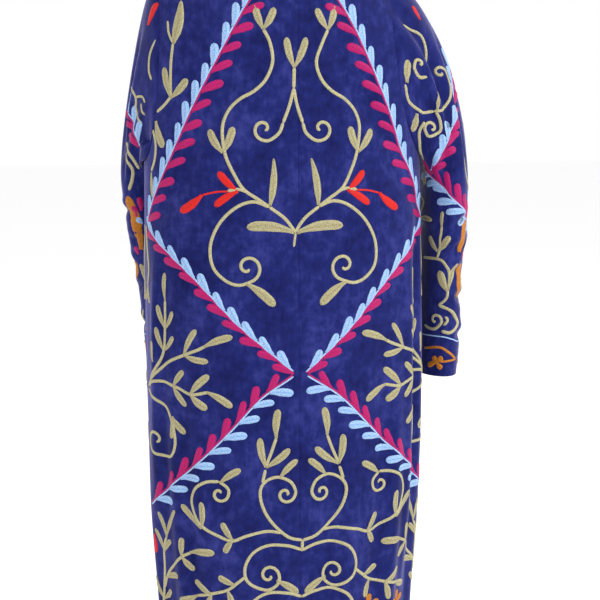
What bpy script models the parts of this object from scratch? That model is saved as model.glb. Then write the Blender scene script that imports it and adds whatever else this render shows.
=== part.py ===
"""Uzbek chapan robe in velvet, as it hangs on a wearer: seven cloth pieces round an empty hollow.

Metres, +Z up. The origin is the middle of the shoulder line, +X is the wearer's left and +Y the back.
Every piece is one cloth wall. The body is worked out from sections at a few heights, the armhole is a
curve on it, and each sleeve starts from the armhole's own points.
"""

import math
from collections import namedtuple

import bmesh
import bpy
import numpy as np

# Cloth and seams
WALL = 0.002
SEAM_GAP = 0.0003

# Cut of the robe
HEM_HEIGHT = -1.17
UNDERARM_HEIGHT = -0.35
NECK_HALF_WIDTH = 0.078
BACK_NECK_DEPTH = 0.056
FRONT_NECK_DEPTH = 0.088
FRONT_EDGE_GAP = 0.024
NECKBAND_HEIGHT = 0.030
NECKBAND_LEAN = 0.006
BAND_INSET = 1.5 * SEAM_GAP

# Shoulder line: its height is SHOULDER_TOP at the middle and falls by SHOULDER_FALL at SHOULDER_REACH
SHOULDER_TOP = 0.018
SHOULDER_FALL = 0.088
SHOULDER_REACH = 0.20
SHOULDER_BEND = 1.35

# Half width at the shoulder tip, and how far the sleeve's head swells out before it falls. The left arm is
# held forward, which draws its armhole out and its sleeve flat
ARMHOLE_PLACE = {1: 0.200, -1: 0.156}
SLEEVE_HEAD = {1: 0.32, -1: 0.90}

# How a sleeve leaves its armhole, at the underarm and at the shoulder tip: how closely it follows the body's
# cloth, and how strongly it is drawn outward. Then how strongly it is drawn down the arm.
FOLLOW_BODY = (0.3, 3.0)
DRAWN_OUT = (0.4, 1.0)
DRAWN_DOWN = 0.9
ARM_DIRECTION_STEP = 0.02

# How far below the shoulder line the cloth has rounded over to its full depth
BACK_ROUNDING = 0.16
FRONT_ROUNDING = 0.14

# How square the body is, as the powers of a superellipse, across and in depth
BACK_SQUARENESS = (2.4, 2.2)
FRONT_SQUARENESS = (2.1, 2.0)
ARMHOLE_SQUARENESS = 3.0

# Grid of the walls
ARMHOLE_STEPS = 12
NECK_STEPS = 6
SHOULDER_STEPS = 12
LENGTH_STEPS = 14
ARM_BEND_STEPS = 10
ARM_STEPS = 13
BAND_STEPS = 2

BodySection = namedtuple("BodySection", "height half_width back_depth front_depth")
BODY_SECTIONS = (
    BodySection(0.05, 0.216, 0.108, 0.090),
    BodySection(-0.15, 0.222, 0.126, 0.098),
    BodySection(-0.32, 0.226, 0.132, 0.100),
    BodySection(-0.60, 0.228, 0.136, 0.102),
    BodySection(-0.90, 0.223, 0.140, 0.108),
    BodySection(-1.07, 0.211, 0.143, 0.112),
    BodySection(-1.20, 0.204, 0.146, 0.116),
)

# Hanging folds of the skirt: angle round the body from centre back (wearer's left is positive), angle to
# the fold's foot, how far its crest stands out at the hem, and the height where it starts
Fold = namedtuple("Fold", "angle half_angle rise start")
FOLDS = (
    Fold(9, 8, 0.004, -0.60),
    Fold(31, 10, 0.007, -0.52),
    Fold(-20, 9, 0.005, -0.56),
    Fold(-47, 10, 0.009, -0.45),
    Fold(57, 9, 0.008, -0.50),
    Fold(-76, 10, 0.010, -0.36),
    Fold(82, 10, 0.010, -0.48),
    Fold(108, 11, 0.010, -0.55),
    Fold(-104, 11, 0.011, -0.52),
    Fold(136, 12, 0.009, -0.60),
    Fold(-133, 12, 0.009, -0.56),
    Fold(160, 10, 0.006, -0.66),
    Fold(-162, 10, 0.006, -0.62),
)

# A sleeve below the shoulder: height, place of its middle (out from the robe's middle, and back), half
# sizes across and front to back, and the angle by which the flat of the sleeve turns to the front
SleeveSection = namedtuple("SleeveSection", "height out back half_across half_deep turn")
HANGING_SLEEVE = (
    SleeveSection(-0.40, 0.273, -0.010, 0.037, 0.086, 0),
    SleeveSection(-0.48, 0.273, -0.014, 0.037, 0.082, 0),
    SleeveSection(-0.56, 0.269, -0.020, 0.034, 0.076, 2),
    SleeveSection(-0.64, 0.272, -0.026, 0.036, 0.068, 4),
    SleeveSection(-0.717, 0.270, -0.030, 0.034, 0.062, 5),
)
FORWARD_SLEEVE = (
    SleeveSection(-0.40, 0.202, -0.112, 0.038, 0.078, 38),
    SleeveSection(-0.48, 0.193, -0.136, 0.038, 0.074, 38),
    SleeveSection(-0.56, 0.182, -0.157, 0.038, 0.068, 36),
    SleeveSection(-0.64, 0.176, -0.174, 0.038, 0.062, 34),
    SleeveSection(-0.70, 0.174, -0.185, 0.037, 0.057, 32),
)

# Creases pressed into a sleeve: share of its length below the bend, angle round it from the outside
# (backwards is positive), half lengths along and round, and depth
Crease = namedtuple("Crease", "along angle half_along half_angle depth")
HANGING_CREASES = (
    Crease(0.16, 60, 0.07, 40, 0.004),
    Crease(0.34, 20, 0.06, 45, 0.004),
    Crease(0.52, 75, 0.07, 40, 0.004),
    Crease(0.78, 25, 0.06, 50, 0.004),
)
FORWARD_CREASES = (
    Crease(0.22, 70, 0.07, 45, 0.004),
    Crease(0.48, 10, 0.07, 45, 0.004),
    Crease(0.74, 60, 0.06, 45, 0.004),
)

# How far a sleeve stays from the body beside it
SLEEVE_CLEARANCE = 0.006
CLEARANCE_REACH = 0.03

SHARP_EDGE = math.radians(50)
VELVET_ROUGHNESS = 0.85
PIECE_COLOURS = {
    "back_left": (0.022, 0.020, 0.140),
    "back_right": (0.024, 0.022, 0.150),
    "front_left": (0.020, 0.018, 0.130),
    "front_right": (0.021, 0.019, 0.135),
    "sleeve_left": (0.026, 0.024, 0.160),
    "sleeve_right": (0.027, 0.025, 0.165),
    "neckband": (0.018, 0.016, 0.115),
}


def smooth_value(sections, column, height):
    """A section table's column at a height, on a smooth curve through its rows (heights fall)."""
    heights = [row.height for row in sections]
    values = [getattr(row, column) for row in sections]
    if height >= heights[0]:
        return values[0]
    if height <= heights[-1]:
        return values[-1]
    row = next(i for i in range(len(heights) - 1) if heights[i + 1] <= height)
    before, after = max(row - 1, 0), min(row + 2, len(heights) - 1)
    span = heights[row + 1] - heights[row]
    share = (height - heights[row]) / span
    slope_in = (values[row + 1] - values[before]) / (heights[row + 1] - heights[before])
    slope_out = (values[after] - values[row]) / (heights[after] - heights[row])
    square, cube = share * share, share ** 3
    return (
        (2 * cube - 3 * square + 1) * values[row]
        + (cube - 2 * square + share) * span * slope_in
        + (3 * square - 2 * cube) * values[row + 1]
        + (cube - square) * span * slope_out
    )


def smooth_step(share):
    """0 to 1 with no corner at either end."""
    share = min(max(share, 0.0), 1.0)
    return share * share * (3 - 2 * share)


def shoulder_line(x):
    """Height of the shoulder line at a distance from the middle."""
    return SHOULDER_TOP - SHOULDER_FALL * (abs(x) / SHOULDER_REACH) ** SHOULDER_BEND


def fold_rise(angle, height):
    """How far the hanging folds move the cloth outward there."""
    rise = 0.0
    for fold in FOLDS:
        away = abs(angle - fold.angle) / fold.half_angle
        if away < 1 and height < fold.start:
            grown = smooth_step((fold.start - height) / (fold.start - HEM_HEIGHT))
            rise += fold.rise * grown * math.cos(away * math.pi / 2) ** 2
    return rise


def body_point(side, angle, height):
    """The body's outer face at an angle from centre back (0) by the side seam (90) to centre front (180)."""
    half_width = smooth_value(BODY_SECTIONS, "half_width", height)
    sine = math.sin(math.radians(angle))
    x = half_width * sine
    drop = max(shoulder_line(x) - height, 0.0)
    if angle <= 90:
        powers, rounding, facing = BACK_SQUARENESS, BACK_ROUNDING, 1
        depth = smooth_value(BODY_SECTIONS, "back_depth", height)
    else:
        powers, rounding, facing = FRONT_SQUARENESS, FRONT_ROUNDING, -1
        depth = smooth_value(BODY_SECTIONS, "front_depth", height)
    rounded = math.sqrt(1 - (1 - min(drop / rounding, 1)) ** 2)
    y = facing * depth * rounded * max(1 - sine ** powers[0], 0) ** (1 / powers[1])
    outward = np.array([x / half_width ** 2, y / depth ** 2, 0.0])
    outward /= max(np.linalg.norm(outward), 1e-9)
    point = np.array([x, y, height]) + outward * fold_rise(side * angle, height)
    point[0] *= side
    return point


def armhole(side, step):
    """Angle from the centre and height of the armhole at one of its steps, from shoulder tip to underarm."""
    tip_height = shoulder_line(ARMHOLE_PLACE[side])
    tip_width = smooth_value(BODY_SECTIONS, "half_width", tip_height)
    tip_angle = math.degrees(math.asin(ARMHOLE_PLACE[side] / tip_width))
    fallen = math.sin(step / ARMHOLE_STEPS * math.pi / 2) ** 2
    swept = 1 - (1 - fallen ** ARMHOLE_SQUARENESS) ** (1 / ARMHOLE_SQUARENESS)
    angle = tip_angle + (90 - tip_angle) * swept
    return angle, tip_height + (UNDERARM_HEIGHT - tip_height) * fallen


def neckline_drop(x, facing):
    """How far below the shoulder line the neckline runs, so that it is round in plan."""
    reach = math.sqrt(max(1 - (x / NECK_HALF_WIDTH) ** 2, 0))
    if facing > 0:
        share, rounding = BACK_NECK_DEPTH * reach / BODY_SECTIONS[0].back_depth, BACK_ROUNDING
    else:
        share, rounding = FRONT_NECK_DEPTH * reach / BODY_SECTIONS[0].front_depth, FRONT_ROUNDING
    return rounding * (1 - math.sqrt(max(1 - share ** 2, 0)))


def panel_columns(side, inner_angle):
    """Shares across a panel, with one column on the point where neckline and shoulder line meet."""
    tip_angle, tip_height = armhole(side, 0)
    tip_width = smooth_value(BODY_SECTIONS, "half_width", tip_height)
    neck_angle = math.degrees(math.asin(NECK_HALF_WIDTH / tip_width))
    corner = (neck_angle - inner_angle) / (tip_angle - inner_angle)
    neck = np.linspace(0, corner, NECK_STEPS + 1)
    shoulder = np.linspace(corner, 1, SHOULDER_STEPS + 1)
    return np.concatenate([neck, shoulder[1:]])


def panel_face(side, facing):
    """Outer face of one body panel: rows from neckline to hem, columns from its inner edge outward."""
    chest_width = smooth_value(BODY_SECTIONS, "half_width", UNDERARM_HEIGHT)
    inner_angle = 0.0 if facing > 0 else math.degrees(math.asin(FRONT_EDGE_GAP / 2 / chest_width))
    columns = panel_columns(side, inner_angle)
    tip_angle, tip_height = armhole(side, 0)
    top_width = smooth_value(BODY_SECTIONS, "half_width", tip_height)
    top_heights = []
    for column, share in enumerate(columns):
        x = top_width * math.sin(math.radians(inner_angle + (tip_angle - inner_angle) * share))
        drop = neckline_drop(x, facing) if column < NECK_STEPS else 0.0
        top_heights.append(shoulder_line(x) - drop)
    rows = []
    for step in range(ARMHOLE_STEPS + 1):
        edge_angle, edge_height = armhole(side, step)
        fallen = (edge_height - tip_height) / (UNDERARM_HEIGHT - tip_height)
        inner_share = (fallen + step / ARMHOLE_STEPS) / 2
        row = []
        for share, top_height in zip(columns, top_heights):
            angle = inner_angle + (edge_angle - inner_angle) * share
            lowered = inner_share + (fallen - inner_share) * share ** 1.5
            row.append((angle, top_height + (UNDERARM_HEIGHT - top_height) * lowered))
        rows.append(row)
    for step in range(1, LENGTH_STEPS + 1):
        height = UNDERARM_HEIGHT + (HEM_HEIGHT - UNDERARM_HEIGHT) * step / LENGTH_STEPS
        rows.append([(inner_angle + (90 - inner_angle) * share, height) for share in columns])
    turned = (lambda angle: angle) if facing > 0 else (lambda angle: 180 - angle)
    return np.array([[body_point(side, turned(a), h) for a, h in row] for row in rows])


def face_normals(points, wraps):
    """Unit normals of a grid of points; wraps joins its last column to the first."""
    down = np.gradient(points, axis=0)
    if wraps:
        across = (np.roll(points, -1, axis=1) - np.roll(points, 1, axis=1)) / 2
    else:
        across = np.gradient(points, axis=1)
    normals = np.cross(across, down)
    return normals / np.linalg.norm(normals, axis=2, keepdims=True)


def unit(vectors):
    return vectors / np.linalg.norm(vectors, axis=-1, keepdims=True)


def body_panel(side, facing):
    """Outer and inner face of a back (facing 1) or front (facing -1), half a seam gap inside its seams."""
    outer = panel_face(side, facing)
    normals = face_normals(outer, wraps=False)
    from_axis = outer * np.array([1.0, 1.0, 0.0])
    if np.sum(normals * from_axis) < 0:
        normals = -normals
    if facing > 0:
        normals[:, 0, 0] = 0
        outer[:, 0, 0] = side * SEAM_GAP / 2
    normals[ARMHOLE_STEPS:, -1, 1] = 0
    normals[0, NECK_STEPS:, 1] = 0
    normals = unit(normals)
    inner = outer - normals * WALL
    for face in (outer, inner):
        face[ARMHOLE_STEPS:, -1, 1] = facing * SEAM_GAP / 2
        face[0, NECK_STEPS:, 1] = facing * SEAM_GAP / 2
    return outer, inner


def armhole_ring(panels, side):
    """The sleeve's first rings, down the armhole's back and up its front, one seam gap outside it."""
    rings = []
    (back_outer, back_inner), (front_outer, front_inner) = panels[side, 1], panels[side, -1]
    for back, front in ((back_outer, front_outer), (back_inner, front_inner)):
        down = back[: ARMHOLE_STEPS + 1, -1]
        up = front[1:ARMHOLE_STEPS, -1][::-1]
        ring = np.concatenate([down, up]).copy()
        ring[0, 1] = ring[ARMHOLE_STEPS, 1] = 0
        rings.append(ring)
    outer, inner = rings
    along = unit(np.roll(outer, -1, axis=0) - np.roll(outer, 1, axis=0))
    away = unit(np.cross(along, unit(outer - inner)))
    beside = np.concatenate([back_outer[: ARMHOLE_STEPS + 1, -2], front_outer[1:ARMHOLE_STEPS, -2][::-1]])
    beside[ARMHOLE_STEPS] = back_outer[ARMHOLE_STEPS + 1, -1]
    away *= np.sign(np.sum(away * (outer - beside), axis=1, keepdims=True))
    return outer + away * SEAM_GAP, inner + away * SEAM_GAP, away


def sleeve_ring(sections, side, height, count):
    """One ring of a sleeve, its points in the armhole's order."""
    out, back, across, deep, turn = (
        smooth_value(sections, column, height) for column in SleeveSection._fields[1:]
    )
    angles = np.arange(count) / count * 2 * math.pi
    flat_x = across * np.cos(angles)
    flat_y = deep * np.sin(angles)
    turned = math.radians(turn)
    x = out + flat_x * math.cos(turned) + flat_y * math.sin(turned)
    y = back - flat_x * math.sin(turned) + flat_y * math.cos(turned)
    return np.stack([side * x, y, np.full(count, height)], axis=1)


def crease_depth(creases, along, angles):
    """How far the creases press the sleeve in, at each angle of one ring."""
    depth = np.zeros(len(angles))
    for crease in creases:
        lengthwise = abs(along - crease.along) / crease.half_along
        around = np.abs((angles - crease.angle + 180) % 360 - 180) / crease.half_angle
        deepest = crease.depth * math.cos(min(lengthwise, 1) * math.pi / 2) ** 2
        depth += deepest * np.cos(np.minimum(around, 1) * math.pi / 2) ** 2
    return depth


def clear_of_body(points, clearance):
    """Moves points of a sleeve out of the body and a little away from it, level by level."""
    moved = points.copy()
    for point in moved:
        if point[2] > UNDERARM_HEIGHT + CLEARANCE_REACH:
            continue
        powers = BACK_SQUARENESS if point[1] > 0 else FRONT_SQUARENESS
        depth_column = "back_depth" if point[1] > 0 else "front_depth"
        half_width = smooth_value(BODY_SECTIONS, "half_width", point[2]) + clearance
        depth = smooth_value(BODY_SECTIONS, depth_column, point[2]) + clearance
        reach = (abs(point[0]) / half_width) ** powers[0] + (abs(point[1]) / depth) ** powers[1]
        if reach < 1:
            point[:2] *= reach ** (-1 / powers[1])
    return moved


def sleeve_wall(panels, side, sections, creases):
    """Outer and inner face of a sleeve, from the armhole over the bend at the shoulder to the cuff."""
    first_outer, first_inner, away = armhole_ring(panels, side)
    count = len(first_outer)
    top, cuff = sections[0].height, sections[-1].height
    end = sleeve_ring(sections, side, top, count)
    below = sleeve_ring(sections, side, top - ARM_DIRECTION_STEP, count)
    upward = np.abs(np.arange(count) - ARMHOLE_STEPS)[:, None] / ARMHOLE_STEPS
    span = np.linalg.norm(end - first_outer, axis=1, keepdims=True)
    follow = FOLLOW_BODY[0] + (FOLLOW_BODY[1] - FOLLOW_BODY[0]) * upward ** 2
    drawn = DRAWN_OUT[0] + (DRAWN_OUT[1] - DRAWN_OUT[0]) * upward
    leave = unit(away * follow + np.array([side, 0.0, 0.0])) * span * drawn * SLEEVE_HEAD[side]
    arrive = unit(below - end) * span * DRAWN_DOWN
    rings = [first_outer]
    for step in range(1, ARM_BEND_STEPS + 1):
        share = step / ARM_BEND_STEPS
        square, cube = share ** 2, share ** 3
        ring = (
            (2 * cube - 3 * square + 1) * first_outer
            + (cube - 2 * square + share) * leave
            + (3 * square - 2 * cube) * end
            + (cube - square) * arrive
        )
        rings.append(clear_of_body(ring, SLEEVE_CLEARANCE * min(step / 3, 1)))
    angles = np.arange(count) / count * 360
    for step in range(1, ARM_STEPS + 1):
        share = step / ARM_STEPS
        height = top + (cuff - top) * share
        ring = sleeve_ring(sections, side, height, count)
        middle = ring.mean(axis=0)
        ring -= unit(ring - middle) * crease_depth(creases, share, angles)[:, None]
        rings.append(clear_of_body(ring, SLEEVE_CLEARANCE))
    outer = np.array(rings)
    normals = face_normals(outer, wraps=True)
    middles = outer.mean(axis=1, keepdims=True)
    if np.sum(normals * (outer - middles)) < 0:
        normals = -normals
    inner = outer - normals * WALL
    inner[0] = first_inner
    return outer, inner


def neckband_wall(panels):
    """Outer and inner face of the neckband, which stands on the neckline between the front edges."""
    edges = []
    for side, facing, backwards in ((-1, -1, False), (-1, 1, True), (1, 1, False), (1, -1, True)):
        edge = panels[side, facing][0][0, : NECK_STEPS + 1]
        edges.append(edge[::-1] if backwards else edge)
    line = [edges[0][:-1]]
    for before, after in zip(edges, edges[1:]):
        line += [(before[-1:] + after[:1]) / 2, after[1:-1]]
    foot = np.concatenate(line + [edges[3][-1:]])
    along = unit(np.gradient(foot, axis=0) * np.array([1, 1, 0]))
    inward = np.cross(along, np.array([0, 0, 1.0]))
    inward *= np.sign(-np.sum(inward * foot * np.array([1, 1, 0]), axis=1, keepdims=True))
    foot = foot + inward * BAND_INSET + np.array([0, 0, SEAM_GAP])
    outer = np.array([
        foot + inward * NECKBAND_LEAN * share + np.array([0, 0, NECKBAND_HEIGHT * share])
        for share in np.linspace(0, 1, BAND_STEPS + 1)
    ])
    return outer, outer + inward * WALL


def make_material(name, colour):
    material = bpy.data.materials.new(name + "_velvet")
    material.use_nodes = True
    shader = material.node_tree.nodes["Principled BSDF"]
    shader.inputs["Base Color"].default_value = (*colour, 1)
    shader.inputs["Roughness"].default_value = VELVET_ROUGHNESS
    shader.inputs["Metallic"].default_value = 0.0
    return material


def make_wall(name, outer, inner, wraps):
    """One closed body from two grids of points: both faces, joined round their free edges."""
    rows, columns = outer.shape[:2]
    mesh = bmesh.new()
    skins = [[[mesh.verts.new(point) for point in row] for row in grid] for grid in (outer, inner)]
    wide = columns if wraps else columns - 1
    for row in range(rows - 1):
        for column in range(wide):
            after = (column + 1) % columns
            for skin in skins:
                upper, lower = skin[row], skin[row + 1]
                mesh.faces.new((upper[column], upper[after], lower[after], lower[column]))
    rim = [((row, column), (row, (column + 1) % columns)) for row in (0, rows - 1) for column in range(wide)]
    if not wraps:
        rim += [((row, column), (row + 1, column)) for column in (0, columns - 1) for row in range(rows - 1)]
    for (row, column), (next_row, next_column) in rim:
        near = [skin[row][column] for skin in skins]
        far = [skin[next_row][next_column] for skin in skins[::-1]]
        mesh.faces.new(near + far)
    bmesh.ops.recalc_face_normals(mesh, faces=mesh.faces)
    data = bpy.data.meshes.new(name)
    mesh.to_mesh(data)
    mesh.free()
    data.shade_smooth()
    data.set_sharp_from_angle(angle=SHARP_EDGE)
    data.materials.append(make_material(name, PIECE_COLOURS[name]))
    bpy.context.scene.collection.objects.link(bpy.data.objects.new(name, data))


def build_robe():
    for leftover in list(bpy.data.objects):
        bpy.data.objects.remove(leftover, do_unlink=True)
    side_names = {1: "left", -1: "right"}
    facing_names = {1: "back", -1: "front"}
    panels = {(side, facing): body_panel(side, facing) for side in side_names for facing in facing_names}
    for (side, facing), (outer, inner) in panels.items():
        make_wall(f"{facing_names[facing]}_{side_names[side]}", outer, inner, wraps=False)
    sleeves = {1: (FORWARD_SLEEVE, FORWARD_CREASES), -1: (HANGING_SLEEVE, HANGING_CREASES)}
    for side, (sections, creases) in sleeves.items():
        outer, inner = sleeve_wall(panels, side, sections, creases)
        make_wall(f"sleeve_{side_names[side]}", outer, inner, wraps=True)
    outer, inner = neckband_wall(panels)
    make_wall("neckband", outer, inner, wraps=False)


build_robe()
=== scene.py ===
"""Uzbek chapan robe of indigo velvet with chain-stitch embroidery, as it hangs on a wearer.

Metres, +Z up. The origin is the middle of the shoulder line, +X is the wearer's left, +Y the robe's back.
"""

import math
from collections import namedtuple

import bpy
import numpy as np
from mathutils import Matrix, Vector


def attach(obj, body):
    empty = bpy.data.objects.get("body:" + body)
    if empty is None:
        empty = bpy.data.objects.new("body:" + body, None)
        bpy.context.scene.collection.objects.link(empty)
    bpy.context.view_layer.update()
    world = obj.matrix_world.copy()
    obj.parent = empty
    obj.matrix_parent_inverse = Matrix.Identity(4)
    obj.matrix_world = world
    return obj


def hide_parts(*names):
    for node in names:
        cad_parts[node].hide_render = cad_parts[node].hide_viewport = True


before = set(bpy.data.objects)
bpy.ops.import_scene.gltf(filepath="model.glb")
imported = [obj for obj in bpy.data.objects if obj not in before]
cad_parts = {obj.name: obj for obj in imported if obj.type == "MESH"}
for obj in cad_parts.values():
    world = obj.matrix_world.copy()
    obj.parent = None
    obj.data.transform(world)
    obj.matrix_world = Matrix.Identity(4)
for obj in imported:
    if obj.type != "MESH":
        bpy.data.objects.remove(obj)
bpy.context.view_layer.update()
bpy.ops.object.select_all(action="DESELECT")


# The back. Two long panels of cotton velvet, each cut in one from the shoulder to the hem and sewn to the
# other down the middle. They round over the shoulders, hang from them, and fall in soft flutes below the
# hips. A place on the cloth is given as metres across from centre back, wearer's left positive, and height.
HEM_HEIGHT = -1.17
UNDERARM_HEIGHT = -0.35
NECK_HALF_WIDTH = 0.078
NECK_DEPTHS = {1: 0.056, -1: 0.088}
FRONT_EDGE_GAP = 0.024
SEAM_GAP = 0.0003
WALL = 0.002
SHOULDER_TOP, SHOULDER_FALL, SHOULDER_REACH, SHOULDER_BEND = 0.018, 0.088, 0.20, 1.35
ARMHOLE_PLACE = {1: 0.200, -1: 0.156}
ARMHOLE_SQUARENESS = 3.0
ROUNDING = {1: 0.16, -1: 0.14}
SQUARENESS = {1: (2.4, 2.2), -1: (2.1, 2.0)}
ARMHOLE_ROWS, LENGTH_ROWS = 40, 130
NECK_COLUMNS = 18
MEASURED_HEIGHT = -0.45
SEAM_ROLL, SEAM_ROLL_WIDTH = 0.0013, 0.0028
# A crease fades out over a share of its length at each end. The low ridge beside it has a share of its
# depth, so many half widths away. Creases start to show this far below the shoulder line.
CREASE_FADE, RIDGE_SHARE, RIDGE_PLACE, SHOULDER_CALM = 0.3, 0.45, 1.9, 0.05

BodySection = namedtuple("BodySection", "height half_width back_depth front_depth")
BODY_SECTIONS = (
    BodySection(0.05, 0.216, 0.108, 0.090),
    BodySection(-0.15, 0.222, 0.126, 0.098),
    BodySection(-0.32, 0.226, 0.132, 0.100),
    BodySection(-0.60, 0.228, 0.136, 0.102),
    BodySection(-0.90, 0.223, 0.140, 0.108),
    BodySection(-1.07, 0.211, 0.143, 0.112),
    BodySection(-1.20, 0.204, 0.146, 0.116),
)

# Flutes of the skirt: angle round the body from centre back, angle to the flute's foot, how far its crest
# stands out at the hem, and the height where it starts
Flute = namedtuple("Flute", "angle half_angle rise start")
FLUTES = (
    Flute(9, 8, 0.004, -0.60),
    Flute(31, 10, 0.007, -0.52),
    Flute(-20, 9, 0.005, -0.56),
    Flute(-47, 10, 0.009, -0.45),
    Flute(57, 9, 0.008, -0.50),
    Flute(-76, 10, 0.010, -0.36),
    Flute(82, 10, 0.010, -0.48),
    Flute(108, 11, 0.010, -0.55),
    Flute(-104, 11, 0.011, -0.52),
    Flute(136, 12, 0.009, -0.60),
    Flute(-133, 12, 0.009, -0.56),
    Flute(160, 10, 0.006, -0.66),
    Flute(-162, 10, 0.006, -0.62),
)

# Creases: where one starts and ends on the cloth, how far its middle bows aside, its half width, and how
# deep it is pressed in (a ridge where negative)
Crease = namedtuple("Crease", "across height across_end height_end bow half_width depth")
BODY_CREASES = (
    Crease(-0.196, -0.42, -0.205, -1.12, 0.006, 0.014, -0.0067),
    Crease(-0.232, -0.38, -0.238, -0.92, -0.006, 0.011, 0.0053),
    Crease(-0.150, -0.60, -0.128, -1.16, 0.008, 0.016, 0.0045),
    Crease(-0.262, -0.50, -0.270, -1.10, 0.004, 0.010, -0.0045),
    Crease(0.236, -0.44, 0.248, -1.02, -0.006, 0.012, -0.0060),
    Crease(0.205, -0.56, 0.190, -1.16, 0.010, 0.015, 0.0048),
    Crease(0.120, -0.74, 0.112, -1.17, -0.008, 0.017, 0.0042),
    Crease(0.060, -0.62, 0.048, -1.10, 0.007, 0.018, 0.0033),
    Crease(-0.066, -0.68, -0.058, -1.15, -0.007, 0.018, 0.0039),
    Crease(0.060, -0.10, 0.150, -0.30, 0.012, 0.020, 0.0042),
    Crease(-0.052, -0.11, -0.128, -0.30, -0.012, 0.020, 0.0042),
    Crease(0.118, -0.24, 0.206, -0.37, 0.010, 0.014, 0.0045),
    Crease(-0.104, -0.24, -0.196, -0.36, -0.010, 0.014, 0.0051),
    Crease(0.150, -0.33, 0.262, -0.46, 0.010, 0.013, 0.0033),
    Crease(-0.140, -0.34, -0.262, -0.44, -0.008, 0.012, 0.0039),
    Crease(0.040, -0.56, 0.190, -0.50, 0.010, 0.020, 0.0024),
    Crease(-0.030, -0.60, -0.190, -0.53, -0.010, 0.020, 0.0027),
    Crease(0.345, -0.40, 0.350, -1.10, 0.008, 0.013, 0.0060),
    Crease(-0.352, -0.42, -0.340, -1.14, -0.008, 0.014, -0.0060),
    Crease(0.420, -0.30, 0.360, -0.44, 0.010, 0.014, 0.0045),
    Crease(-0.430, -0.28, -0.356, -0.42, -0.010, 0.014, 0.0051),
    Crease(0.440, -0.50, 0.452, -1.16, 0.008, 0.016, 0.0051),
    Crease(-0.424, -0.62, -0.440, -1.16, 0.008, 0.016, 0.0045),
    Crease(0.500, -0.22, 0.505, -0.80, -0.006, 0.012, -0.0036),
    Crease(-0.496, -0.24, -0.508, -0.92, 0.006, 0.012, -0.0039),
    Crease(0.470, -0.14, 0.400, -0.26, 0.008, 0.014, 0.0039),
    Crease(-0.474, -0.13, -0.398, -0.25, -0.008, 0.014, 0.0042),
)


def eased(start, leave, end, arrive, share):
    """A smooth way from a start to an end, with the slopes to leave and to arrive by."""
    square, cube = share ** 2, share ** 3
    return (
        (2 * cube - 3 * square + 1) * start
        + (cube - 2 * square + share) * leave
        + (3 * square - 2 * cube) * end
        + (cube - square) * arrive
    )


def at_height(rows, column, height):
    """A column of a section table at any heights, on a smooth curve through its rows."""
    heights = np.array([row.height for row in rows][::-1])
    values = np.array([getattr(row, column) for row in rows][::-1])
    after = np.minimum(np.arange(len(rows)) + 1, len(rows) - 1)
    before = np.maximum(np.arange(len(rows)) - 1, 0)
    slopes = (values[after] - values[before]) / (heights[after] - heights[before])
    height = np.clip(height, heights[0], heights[-1])
    row = np.clip(np.searchsorted(heights, height, side="right") - 1, 0, len(rows) - 2)
    span = heights[row + 1] - heights[row]
    share = (height - heights[row]) / span
    return eased(values[row], span * slopes[row], values[row + 1], span * slopes[row + 1], share)


def smooth_step(share):
    """Rises from 0 to 1, slowly at both ends."""
    share = np.clip(share, 0, 1)
    return share * share * (3 - 2 * share)


def unit(vectors):
    """Each direction at a length of 1."""
    return vectors / np.maximum(np.linalg.norm(vectors, axis=-1, keepdims=True), 1e-9)


def run_along(points):
    """How far along a line each of its points is."""
    return np.concatenate([[0], np.cumsum(np.linalg.norm(np.diff(points, axis=0), axis=1))])


def shoulder_line(x):
    """Height of the shoulder seam beside the neck and out to the arm."""
    return SHOULDER_TOP - SHOULDER_FALL * (np.abs(x) / SHOULDER_REACH) ** SHOULDER_BEND


def press(creases, across, height):
    """How far the creases move the cloth outward at places on it: a trough with a low ridge beside it."""
    moved = np.zeros(np.broadcast(across, height).shape)
    for crease in creases:
        run = np.array([crease.across_end - crease.across, crease.height_end - crease.height])
        length = np.hypot(*run)
        run /= length
        along = ((across - crease.across) * run[0] + (height - crease.height) * run[1]) / length
        aside = (across - crease.across) * run[1] - (height - crease.height) * run[0]
        away = (aside - crease.bow * 4 * along * (1 - along)) / crease.half_width
        fade = smooth_step(along / CREASE_FADE) * smooth_step((1 - along) / CREASE_FADE)
        ridge = RIDGE_SHARE * np.exp(-(away - RIDGE_PLACE) ** 2)
        moved -= crease.depth * fade * (np.exp(-away ** 2) - ridge)
    return moved


def body_form(behind, height):
    """The body's half width and depth at a height, and how squarely it rounds across and in depth."""
    depths = [at_height(BODY_SECTIONS, column, height) for column in ("back_depth", "front_depth")]
    powers = [np.where(behind, SQUARENESS[1][way], SQUARENESS[-1][way]) for way in range(2)]
    return at_height(BODY_SECTIONS, "half_width", height), np.where(behind, *depths), *powers


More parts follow.
